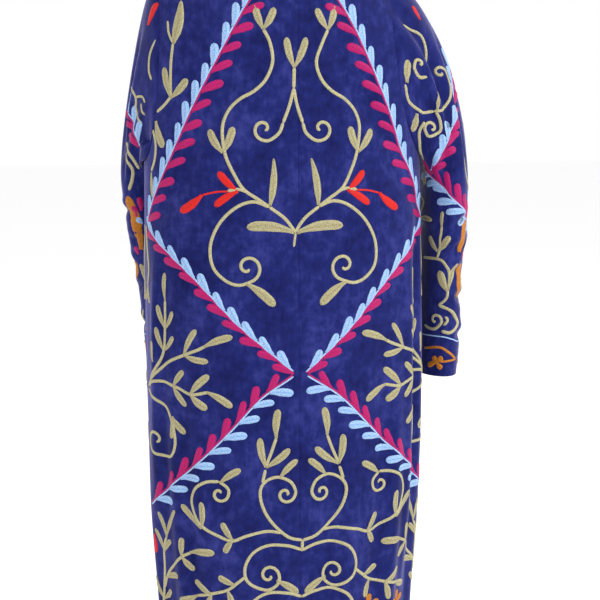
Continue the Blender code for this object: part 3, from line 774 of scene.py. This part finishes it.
def stitch_piece(name, surface, facing, strokes, finish, slot):
    """One colour of the embroidery on one part of the robe: closed rows of stitches laid on the cloth."""
    middle = np.concatenate([line for line, _, _ in strokes])
    ahead = np.concatenate([unit(np.gradient(line, axis=0)) for line, _, _ in strokes])
    half = np.concatenate([width for _, width, _ in strokes])
    run = np.concatenate([run_along(line) for line, _, _ in strokes])
    aside = np.stack([-ahead[:, 1], ahead[:, 0]], axis=1)
    # The same width of stitches everywhere, also where the places are drawn out or pressed together
    before, after = surface(*(middle - ahead * FEELER).T), surface(*(middle + ahead * FEELER).T)
    inner, outer = surface(*(middle - aside * FEELER).T), surface(*(middle + aside * FEELER).T)
    way, crossing = unit(after - before), (outer - inner) / (2 * FEELER)
    crossing -= way * np.sum(crossing * way, axis=1, keepdims=True)
    drawn = np.clip(np.linalg.norm(crossing, axis=1), *DRAWN_LIMITS)
    spread = middle[:, None] + aside[:, None] * (half / drawn)[:, None, None] * STITCH_ACROSS[None, :, None]
    across, along = spread[..., 0], spread[..., 1]
    by_across = surface(across + FEELER, along) - surface(across - FEELER, along)
    by_along = surface(across, along + FEELER) - surface(across, along - FEELER)
    normals = unit(np.cross(by_across, by_along)) * facing
    rise = np.minimum(half / FULL_HALF_WIDTH, 1)[:, None] * STITCH_CROWN[None, :]
    points = surface(across, along) + normals * rise[..., None]
    uv = np.stack([run[:, None] + 0 * across, half[:, None] * STITCH_ACROSS[None, :]], axis=-1)
    filled = np.concatenate([np.full(len(line), fill) for line, _, fill in strokes])
    rim = np.where(filled[:, None], STITCH_RIM[None, :], ROW_RIM)
    wide = len(STITCH_ACROSS)
    faces, first = [], 0
    for line, _, _ in strokes:
        rows = np.arange(first, first + len(line) - 1)[:, None] * wide
        column = np.arange(wide)[None, :]
        beside = (column + 1) % wide
        sides = (rows + column, rows + beside, rows + wide + beside, rows + wide + column)
        faces += np.stack(sides, axis=-1).reshape(-1, 4).tolist()
        last = (first + len(line) - 1) * wide
        faces.append([first * wide + k for k in range(wide)][::-1])
        faces.append([last + k for k in range(wide)])
        first += len(line)
    mesh = bpy.data.meshes.new(name)
    mesh.from_pydata(points.reshape(-1, 3).tolist(), [], faces)
    corners = np.concatenate([np.array(face) for face in faces])
    flat = mesh.uv_layers.new(name="UVMap")
    flat.data.foreach_set("uv", uv.reshape(-1, 2)[corners].ravel())
    shade = mesh.attributes.new("rim", "FLOAT", "POINT")
    shade.data.foreach_set("value", rim.ravel())
    piece = in_scene(name, mesh)
    piece.select_set(True)
    bpy.ops.object.mode_set(mode="EDIT")
    bpy.ops.mesh.select_all(action="SELECT")
    bpy.ops.mesh.normals_make_consistent(inside=False)
    bpy.ops.object.mode_set(mode="OBJECT")
    piece.select_set(False)
    mesh.shade_smooth()
    mesh.materials.append(finish)
    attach(piece, "root")


GOLD_THREAD = thread("gold_thread", (0.50, 0.462, 0.262), (0.19, 0.158, 0.078), 0.24)
PINK_THREAD = thread("magenta_thread", (0.53, 0.006, 0.160), (0.27, 0.002, 0.070), 0.10)
BLUE_THREAD = thread("pale_blue_thread", (0.41, 0.59, 0.81), (0.125, 0.25, 0.52), 0.26)
RED_THREAD = thread("red_thread", (0.688, 0.0189, 0.0129), (0.46, 0.006, 0.004), 0.10)
ORANGE_THREAD = thread("orange_thread", (0.60, 0.22, 0.015), (0.28, 0.085, 0.004), 0.15)
THREADS = {
    "gold": (GOLD_THREAD, "gold_thread"),
    "pink": (PINK_THREAD, "pink_thread"),
    "blue": (BLUE_THREAD, "blue_thread"),
    "red": (RED_THREAD, "red_thread"),
    "orange": (ORANGE_THREAD, "orange_thread"),
}
LATTICE = 0.005
# Hand work wanders: where the middle of the pattern runs beside the centre seam, by height
MIDDLE_OF_WORK = (
    (-1.17, -1.0, -0.87, -0.68, -0.5, -0.33, -0.2, -0.17),
    (-0.003, -0.003, -0.007, -0.002, 0.004, 0.010, 0.006, 0.0025),
)
# The side of a chain's blue leaves, how far its blue and pink leaves open, how many leaves from its start
# the first of each stands, and its line in millimetres across from centre back and of height
Chain = namedtuple("Chain", "blue_side lean first line")
CHAINS = (
    # down the back from the neck to the side seam, in to the middle, and out to the side again
    Chain(1, (16, 34), (0.7, 1), (
        (30, -45), (78, -110), (126, -192), (164, -262), (204, -340), (266, -444),
    )),
    Chain(-1, (12, 14), (0.7, 1), (
        (266, -452), (194, -504), (144, -550), (94, -602), (48, -643), (8, -677),
    )),
    Chain(-1, (32, 20), (1.35, 1.4), (
        (10, -681), (62, -717), (110, -768), (158, -816), (214, -864), (268, -910),
    )),
    # the same lattice on the fronts
    Chain(-1, (16, 34), (0.7, 1), ((515, -160), (478, -200), (430, -262), (380, -340), (322, -444))),
    Chain(1, (12, 14), (0.7, 1), ((322, -452), (380, -510), (432, -562), (490, -622), (540, -677))),
    Chain(1, (32, 20), (1.35, 1.4), ((540, -681), (488, -735), (430, -796), (376, -856), (322, -908))),
)
body_work = {colour: [] for colour in THREADS}


def metres(places):
    """Places or widths of a table, which gives them in millimetres."""
    return np.asarray(places, float) / 1000


def mirrored(line, side):
    """A line laid out for the left half of the robe, or its mirror image on the right half."""
    line = np.asarray(line, float)
    middle = np.where(line[:, 0] < SIDE_SEAM, np.interp(line[:, 1], *MIDDLE_OF_WORK), 0)
    return line if side > 0 else np.stack([2 * middle - line[:, 0], line[:, 1]], axis=1)


# No stitch comes nearer to the front edge than this, and a leaf that would lose more of itself is left off
EDGE_MARGIN, KEPT_SHARE = 0.001, 0.8
for side in SIDE_NAMES:
    for blue_side, lean, first, line in CHAINS:
        line = mirrored(metres(line), side)
        for colour, strokes in leaf_chain(line, blue_side * side, lean, first=first).items():
            for run, half, fill in strokes:
                on_cloth = np.abs(run[:, 0]) + half < CENTRE_FRONT - FRONT_EDGE_GAP / 2 - EDGE_MARGIN
                if on_cloth.mean() > KEPT_SHARE:
                    body_work[colour].append((run[on_cloth], half[on_cloth], fill))


# The gold vines of the back. Between the chains, stems of thick gold thread branch from hearts on the centre
# seam, coil into volutes and carry club-shaped leaves, each outlined and then filled with rows of stitches.
# Both halves are worked to one pattern, mirrored at the seam, so the layout is given for the left half, in
# millimetres across from centre back and of height.
def sprig(base, tips, width, bow=LEAF_BOW):
    """Leaves that spread from one point."""
    return [leaf(base, tip, width, bow if number % 2 else -bow) for number, tip in enumerate(tips)]


def lance(base, tip, width=0.0125):
    """A filled leaf that is drawn out to a point."""
    line, _, fill = leaf(base, tip, width, 0.04)
    share = np.linspace(0, 1, len(line))
    swell = (0.45 + 0.55 * smooth_step(share / 0.3)) * (1 - 0.70 * smooth_step((share - 0.45) / 0.55))
    swell[-1] *= 0.4
    return line, swell * width / 2, fill


GOLD_STEMS = (
    # upper heart and its vines, which run up under the neck
    ((5, -456), (22, -434), (46, -416)),
    ((46, -416), (62, -405), (86, -388), (102, -362), (113, -337), (117, -310), (116, -288), (107, -268),
     (90, -252), (68, -240), (50, -222), (40, -196), (44, -168), (54, -148)),
    ((80, -393), (92, -389), (110, -391)),
    ((7, -236), (14, -262), (24, -288)),
    ((7, -236), (6, -205)),
    # sprays at the side
    ((268, -712), (246, -690), (218, -666), (184, -650), (162, -641), (148, -634)),
    ((268, -712), (240, -676), (226, -648), (222, -612), (220, -566)),
    ((268, -712), (248, -700), (226, -698), (202, -703), (174, -712), (144, -707)),
    # boughs of the lower heart, out to the side spirals
    ((30, -935), (56, -933), (88, -939), (112, -947), (136, -940), (158, -928), (172, -912), (179, -888),
     (171, -866), (152, -853), (130, -851)),
    ((60, -853), (55, -832)),
    ((54, -826), (46, -806), (37, -780)),
    ((-4.5, -950), (-4, -968)),
    # the third heart's side branch, and the sprigs along the side seam
    ((92, -1006), (106, -1017), (124, -1030), (150, -1038), (180, -1046)),
    ((258, -1168), (262, -1110), (256, -1060), (250, -1016), (246, -980), (236, -958)),
    ((254, -1050), (244, -1026), (224, -1004), (200, -982), (186, -975)),
    ((258, -1140), (242, -1120), (222, -1104)),
    # down beside the chain
    ((276, -452), (270, -486), (264, -520), (270, -548)),
)

# Vines that end in a coil: the line up to it, its centre, and how many times it turns
GOLD_COILS = (
    (((46, -416), (70, -408), (96, -416), (122, -440), (137, -474), (134, -508), (116, -529), (96, -537),
     (78, -533)), (80, -509), -1.12),
    (((24, -288), (30, -303), (44, -314)), (54, -297), 1.0),
    (((-4.5, -950), (20, -942), (46, -918), (60, -893), (64, -868), (56, -852), (36, -844), (16, -851),
     (7, -866)), (23, -872), 1.15),
    (((130, -851), (116, -861)), (130, -871), 1.05),
    (((-4, -966), (20, -957), (50, -956), (76, -966), (91, -988), (91, -1010), (78, -1023), (56, -1030),
     (40, -1022)), (53, -1006), -1.15),
    (((268, -716), (244, -728), (220, -742), (208, -766), (204, -796), (214, -818), (238, -820)),
     (246, -796), 0.95),
    (((-3, -1044), (20, -1036), (50, -1034), (78, -1046), (92, -1070), (90, -1094), (74, -1110),
     (54, -1112)), (56, -1090), -1.1),
    (((20, -1140), (60, -1134), (100, -1142), (126, -1130), (138, -1106)), (124, -1090), 0.95),
)

# Leaves that grow from one place: that place, their tips, and their width
GOLD_LEAVES = (
    ((117, -333), ((139, -298), (101, -294)), 13.5),
    ((81, -535), ((38, -570),), 16),
    ((54, -148), ((66, -112), (36, -116)), 12.5),
    ((6, -205), ((18, -160),), 12.5),
    ((220, -566), ((219, -522),), 9),
    ((222, -612), ((234, -574), (204, -582)), 9.5),
    ((226, -648), ((238, -610), (204, -622)), 9.5),
    ((246, -668), ((248, -634),), 8.5),
    ((184, -650), ((162, -608), (143, -658)), 11.4),
    ((150, -635), ((104, -618),), 13.1),
    ((206, -702), ((186, -676), (183, -733)), 11.4),
    ((174, -712), ((142, -680), (146, -734)), 13.7),
    ((146, -707), ((106, -730),), 13),
    ((209, -752), ((212, -788), (186, -778)), 12),
    ((54, -828), ((63, -780), (16, -798)), 13.1),
    ((37, -780), ((33, -734),), 13.7),
    ((32, -845), ((3, -817),), 12),
    ((128, -853), ((94, -830),), 12.5),
    ((162, -930), ((196, -894), (161, -886)), 11.4),
    ((110, -946), ((127, -918), (125, -968)), 12),
    ((40, -1014), ((3, -1038),), 13),
    ((110, -1020), ((138, -1008),), 12),
    ((124, -1030), ((116, -1060),), 12),
    ((152, -1039), ((182, -1020), (160, -1070)), 12.5),
    ((180, -1046), ((212, -1058),), 13.7),
    ((236, -958), ((208, -906), (250, -918)), 10.3),
    ((246, -986), ((226, -962), (262, -950)), 10.3),
    ((200, -982), ((198, -950), (182, -1004)), 11.4),
    ((188, -975), ((142, -970),), 13.7),
    ((246, -1030), ((212, -1018),), 12.5),
    ((256, -1070), ((274, -1036), (238, -1050)), 10.8),
    ((222, -1104), ((216, -1134),), 11.4),
    ((56, -1110), ((20, -1128),), 12.5),
    ((268, -546), ((280, -572), (262, -576)), 9),
)
RED_LEAVES = (
    ((94, -392), ((124, -362), (130, -415)), 13),
    ((150, -398), ((186, -424),), 15),
    ((266, -960), ((267, -994),), 11),
)


def vines(layout, side):
    """The strokes of a layout on the left half, or of its mirror image on the right half."""
    def laid(places):
        return mirrored(metres(places), side)

    stems, coils, leaves = layout
    strokes = [stem(laid(line)) for line in stems]
    strokes += [coil(laid(line), laid([centre])[0], turns * side) for line, centre, turns in coils]
    for base, tips, width in leaves:
        strokes += sprig(laid([base])[0], laid(tips), width / 1000, LEAF_BOW * side)
    return strokes


VINES = {"gold": (GOLD_STEMS, GOLD_COILS, GOLD_LEAVES), "red": ((), (), RED_LEAVES)}
for side in SIDE_NAMES:
    for colour, layout in VINES.items():
        body_work[colour] += vines(layout, side)

# Beside the wider left armhole there is room for one more vine, here given in metres
body_work["gold"] += [
    stem(((0.199, -0.168), (0.203, -0.195), (0.204, -0.225), (0.203, -0.248))),
    stem(((0.203, -0.249), (0.217, -0.262), (0.233, -0.272))),
    stem(((0.244, -0.300), (0.237, -0.322), (0.240, -0.346), (0.250, -0.364))),
    lance((0.199, -0.168), (0.182, -0.104), 0.0200),
    stem(((0.199, -0.168), (0.207, -0.152), (0.2085, -0.134)), 0.0046),
    *sprig((0.203, -0.250), ((0.217, -0.204), (0.174, -0.222)), 0.0140),
    leaf((0.236, -0.286), (0.218, -0.326), 0.0170, 0.08),
    leaf((0.250, -0.366), (0.246, -0.406), 0.0100, 0.04),
]
body_work["gold"].append(stem(((LATTICE, -0.456), (LATTICE + 0.003, -0.478)), 0.0042))
for side in SIDE_NAMES:
    base, tip = (LATTICE + 0.002 * side, -0.456), (LATTICE + 0.076 * side, -0.447)
    body_work["gold"].append(leaf(base, tip, 0.0175, 0.07 * side))
    body_work["gold"].append(lance(*mirrored(((0.045, -0.414), (0.039, -0.342)), side)))
    red_stem = mirrored(metres(((108, -392), (128, -393), (150, -398))), side)
    body_work["red"].append(stem(red_stem, 0.0034))

# The fronts carry the same vines as the back, laid from the front edges instead of the centre seam, and none
# runs past the edge or up to the neck
FRONT_MIRROR, VINE_EDGE, VINE_TOP = 0.5685, 0.547, -0.17
for side in SIDE_NAMES:
    for colour, layout in VINES.items():
        for line, half, fill in vines(layout, 1):
            across = FRONT_MIRROR - line[:, 0]
            if across.max() < VINE_EDGE and line[:, 1].max() < VINE_TOP:
                laid = np.stack([across * side, line[:, 1]], axis=1)
                body_work[colour].append((laid, half, fill))

# Orange flowers low on the back and on each front
PETALS, PETAL_BASE, PETAL_TIP, PETAL_WIDTH = 5, 0.003, 0.021, 0.0135
for place in metres(((150, -1080), (-131, -1077), (-197, -1085), (420, -1084), (-420, -1084))):
    for petal in range(PETALS):
        towards = turned((0, 1), petal * 360 / PETALS)
        base, tip = place + towards * PETAL_BASE, place + towards * PETAL_TIP
        body_work["orange"].append(leaf(base, tip, PETAL_WIDTH))


# The embroidery of the body as it is sewn down. The rows of one colour of silky thread are one piece,
# stitched through the velvet of the back and of both fronts, and their edges sink a little into the pile.
for colour, strokes in body_work.items():
    if strokes:
        stitch_piece(f"embroidery_body_{colour}", body_cloth, -1, strokes, *THREADS[colour])


# The embroidery of the sleeves. Each is worked in the same threads as the body, with vines, sprigs and leaf
# chains, and with fine lines and orange flowers at the cuff. The front half of each sleeve is the rear half
# of the right sleeve, mirrored. Places are millimetres round the sleeve from its outer line, backwards
# positive, and of height.
HEIGHT_STEPS, REACH_STEPS, SLEEVE_REACH = 420, 431, 0.215
SleeveWork = namedtuple("SleeveWork", "colour stems coils leaves", defaults=((), (), ()))
RIGHT_SLEEVE = (
    SleeveWork("gold", stems=(
        (((107, -136), (80, -149), (80, -171), (91, -194)), 5.5),
        (((158, -229), (160, -256), (145, -271), (139, -274), (121, -272)), 5.5),
        (((142, -288), (153, -304), (156, -324), (160, -345), (170, -362)), 5.5),
        (((196, -413), (180, -421), (185, -432), (194, -445)), 5),
        (((161, -515), (120, -514), (104, -523), (95, -539), (93, -562)), 5.6),
        (((123, -514), (122, -499), (122, -480), (122, -458)), 5.6),
        (((94, -565), (94, -576), (98, -584), (108, -592)), 5),
        (((108, -592), (90, -599), (75, -611), (65, -623), (74, -634), (86, -640), (99, -637)), 6.8),
        (((96, -613), (90, -618), (96, -627)), 5.5),
        (((68, -315), (76, -350), (72, -380), (56, -400)), 5.5),
        (((4, -480), (26, -505), (22, -540), (40, -572)), 5.5),
        (((1, -430), (1, -285)), 5),
    ), coils=(
        (((117, -218), (129, -218), (132, -205), (126, -194)), (120, -197), 0.85),
        (((121, -272), (100, -268), (80, -252), (68, -230), (65, -210)), (76, -210), -1.0),
        (((118, -272), (115, -287), (119, -304), (138, -311)), (132, -298), 1.0),
        (((137, -631), (124, -635), (111, -634), (101, -623)), (113, -619), -0.9),
        (((40, -572), (24, -590), (8, -612)), (22, -622), 0.9),
    ), leaves=(
        ((154, -227), ((137, -192),), 15),
        ((151, -275), ((167, -304),), 13),
        ((116, -271), ((99, -240),), 10.5),
        ((172, -364), ((184, -394),), 11.5),
        ((192, -451), ((147, -451),), 10),
        ((125, -501), ((150, -477), (106, -474)), 12.5),
        ((121, -463), ((123, -434),), 8.5),
        ((94, -567), ((114, -533),), 16),
        ((93, -565), ((84, -520),), 9.5),
        ((40, -572), ((54, -548), (22, -556)), 10.5),
        ((26, -505), ((44, -484),), 10),
        ((2, -404), ((26, -376),), 11),
        ((2, -362), ((26, -334),), 11),
        ((2, -318), ((24, -290),), 11),
        ((1, -288), ((1, -250),), 12),
    )),
    SleeveWork("blue", stems=(
        (((145, -648), (99, -647), (80, -651), (57, -658), (0, -660)), 2.4),
    )),
    SleeveWork("orange", stems=(
        (((130, -671), (99, -666), (82, -674), (63, -688)), 5),
        (((63, -688), (83, -690), (95, -691)), 4.5),
    ), leaves=(
        ((99, -693), ((107, -682), (116, -701), (90, -683), (88, -703)), 10.5),
        ((82, -502), ((64, -444),), 22),
        ((66, -580), ((66, -522),), 22),
        ((22, -693), ((32, -680), (40, -699), (10, -682), (10, -704)), 10.5),
    )),
    SleeveWork("pink", leaves=(
        ((72, -514), ((58, -500),), 12),
    )),
    SleeveWork("red", leaves=(
        ((61, -127), ((54, -106),), 12),
    )),
)
LEFT_SLEEVE = (
    SleeveWork("gold", stems=(
        (((93, -162), (94, -184), (106, -208), (121, -223)), 5),
        (((58, -228), (88, -249), (95, -271), (122, -291)), 5.5),
        (((88, -249), (108, -249), (120, -258)), 4.6),
        (((108, -259), (116, -271), (126, -277)), 4.6),
        (((84, -322), (103, -342), (117, -364)), 7),
        (((86, -339), (105, -363), (104, -382), (96, -400)), 6.6),
        (((66, -612), (62, -631), (62, -651)), 5),
    ), leaves=(
        ((87, -558), ((86, -528),), 11),
    )),
    SleeveWork("red", leaves=(
        ((56, -139), ((47, -105),), 17),
    )),
    SleeveWork("pink", leaves=(
        ((110, -435), ((110, -412),), 11),
        ((101, -445), ((98, -426),), 12),
        ((88, -511), ((84, -498),), 11),
    )),
    SleeveWork("blue", stems=(
        (((10, -660), (53, -658), (70, -658), (120, -655)), 2.4),
    ), leaves=(
        ((108, -457), ((100, -448),), 12),
    )),
    SleeveWork("orange", stems=(
        (((10, -672), (52, -676), (69, -670), (120, -672)), 4.5),
    ), leaves=(
        ((96, -502), ((90, -410),), 23),
        ((64, -555), ((72, -524),), 17),
        ((55, -700), ((52, -679),), 12),
    )),
)
RIGHT_SLEEVE_CHAINS = (
    (((10, -190), (46, -250), (90, -296), (116, -331), (134, -355), (150, -370)), (14, 12), 30),
    (((172, -366), (150, -379), (123, -395), (108, -410), (74, -436), (36, -456), (4, -466)), (34, 30), 25),
)
LEFT_SLEEVE_CHAINS = (
    (((63, -262), (89, -286), (108, -307), (120, -328)), (20, 22), 28),
)


def sleeve_cloth(side):
    """The surface of a sleeve, as a function of places: round it on the smooth cloth, and height."""
    smooth, creased = smooth_sleeves[side], sleeve_points[side]
    half = smooth.shape[1] // 2
    heights = np.linspace(smooth[..., 2].max(), smooth[..., 2].min(), HEIGHT_STEPS)
    places = np.linspace(-SLEEVE_REACH, SLEEVE_REACH, REACH_STEPS)
    table = np.empty((HEIGHT_STEPS, REACH_STEPS, 3))

    def at_heights(column, values):
        falling = np.minimum.accumulate(column[:, 2])
        return np.stack([np.interp(-heights, -falling, values[:, axis]) for axis in range(3)], axis=1)

    for way in (1, -1):
        columns = [way * step % (2 * half) for step in range(half + 1)]
        lines = []
        for values in (smooth, creased):
            # Above a column's start, the armhole's edge at that height stands in for it
            edge = at_heights(smooth[0, columns], values[0, columns])
            filled = []
            for column in columns:
                fallen = at_heights(smooth[:, column], values[:, column])
                filled.append(np.where(heights[:, None] > smooth[0, column, 2], edge, fallen))
            lines.append(np.stack(filled, axis=1))
        gone = np.cumsum(np.linalg.norm(np.diff(lines[0], axis=1), axis=2) + 1e-9, axis=1)
        here = places * way >= 0
        for row in range(HEIGHT_STEPS):
            run = np.concatenate([[0], gone[row]])
            for axis in range(3):
                table[row, here, axis] = np.interp(places[here] * way, run, lines[1][row, :, axis])

    def surface(around, height):
        row = np.clip((heights[0] - height) / (heights[0] - heights[-1]), 0, 1) * (HEIGHT_STEPS - 1)
        column = np.clip((around + SLEEVE_REACH) / (2 * SLEEVE_REACH), 0, 1) * (REACH_STEPS - 1)
        above = np.minimum(row.astype(int), HEIGHT_STEPS - 2)
        beside = np.minimum(column.astype(int), REACH_STEPS - 2)
        down, aside = (row - above)[..., None], (column - beside)[..., None]
        return (
            (table[above, beside] * (1 - aside) + table[above, beside + 1] * aside) * (1 - down)
            + (table[above + 1, beside] * (1 - aside) + table[above + 1, beside + 1] * aside) * down
        )

    return surface


def sleeve_work(layout, chains, start=0.0, sense=1):
    """A sleeve's strokes by colour, laid from a line on the sleeve in one sense or the other round it."""
    def laid(places):
        return metres(places) * (sense, 1) + (start, 0)

    strokes = {colour: [] for colour in THREADS}
    for colour, stems, coils, leaves in layout:
        strokes[colour] += [stem(laid(line), width / 1000) for line, width in stems]
        strokes[colour] += [coil(laid(line), laid(centre), turns * sense) for line, centre, turns in coils]
        for base, tips, width in leaves:
            strokes[colour] += sprig(laid(base), laid(tips), width / 1000, LEAF_BOW * sense)
    for line, lean, spacing in chains:
        for colour, worked in leaf_chain(laid(line), sense, lean, spacing / 1000).items():
            strokes[colour] += worked
    return strokes


# The rear half of each sleeve, and how far round from the outer line its front half starts
SLEEVE_LAYOUTS = {
    1: (LEFT_SLEEVE, LEFT_SLEEVE_CHAINS, 0.010),
    -1: (RIGHT_SLEEVE, RIGHT_SLEEVE_CHAINS, 0.0),
}
for side, side_name in SIDE_NAMES.items():
    layout, chains, front_start = SLEEVE_LAYOUTS[side]
    rear = sleeve_work(layout, chains)
    front = sleeve_work(RIGHT_SLEEVE, RIGHT_SLEEVE_CHAINS, front_start, -1)
    cloth = sleeve_cloth(side)
    for colour, finish in THREADS.items():
        strokes = rear[colour] + front[colour]
        if strokes:
            stitch_piece(f"embroidery_sleeve_{side_name}_{colour}", cloth, side, strokes, *finish)


# The studio. A plain pale floor under the hem, broad soft lights, and a camera behind the robe at a little
# above the height of its middle.
FLOOR_HEIGHT, FLOOR_SIZE = -1.38, 40
bpy.ops.mesh.primitive_plane_add(size=FLOOR_SIZE, location=(0, 0, FLOOR_HEIGHT))
floor = bpy.context.active_object
floor.name = "studio_floor"
floor_finish, *_ = new_finish("pale_floor", {"Base Color": (0.97, 0.97, 0.97, 1), "Roughness": 0.9})
floor.data.materials.append(floor_finish)

room = bpy.data.worlds.new("studio_room")
room.use_nodes = True
dial(room.node_tree.nodes["Background"], {"Color": (1.0, 1.0, 1.0, 1), "Strength": 1.0})
bpy.context.scene.world = room
bpy.context.scene.view_settings.view_transform = "Standard"

# Place, aim, size and power of each light
LIGHTS = {
    "key": ((-2.9, 2.3, 1.7), (0, 0, -0.55), 1.6, 110),
    "fill": ((2.6, 2.8, 0.8), (0, 0, -0.60), 2.4, 22),
    "front": ((0.5, -3.6, 1.4), (0, 0, -0.55), 2.6, 40),
}
for light_name, (place, aim, size, power) in LIGHTS.items():
    bpy.ops.object.light_add(type="AREA", location=place)
    light = bpy.context.active_object
    light.name = f"studio_{light_name}"
    light.data.shape, light.data.size, light.data.energy = "DISK", size, power
    light.rotation_euler = (Vector(aim) - Vector(place)).to_track_quat("-Z", "Y").to_euler()

CAMERA_AIM, CAMERA_DISTANCE, CAMERA_LENS = Vector((-0.024, 0.02, -0.58)), 2.1, 76.36
CAMERA_TURN, CAMERA_RISE = math.radians(11), math.radians(9)
toward = Vector((
    math.sin(CAMERA_TURN) * math.cos(CAMERA_RISE),
    math.cos(CAMERA_TURN) * math.cos(CAMERA_RISE),
    math.sin(CAMERA_RISE),
))
bpy.ops.object.camera_add(location=CAMERA_AIM + toward * CAMERA_DISTANCE)
camera = bpy.context.active_object
camera.name = "photo_camera"
camera.rotation_euler = (-toward).to_track_quat("-Z", "Y").to_euler()
camera.data.lens, camera.data.sensor_width = CAMERA_LENS, 36
bpy.context.scene.camera = camera
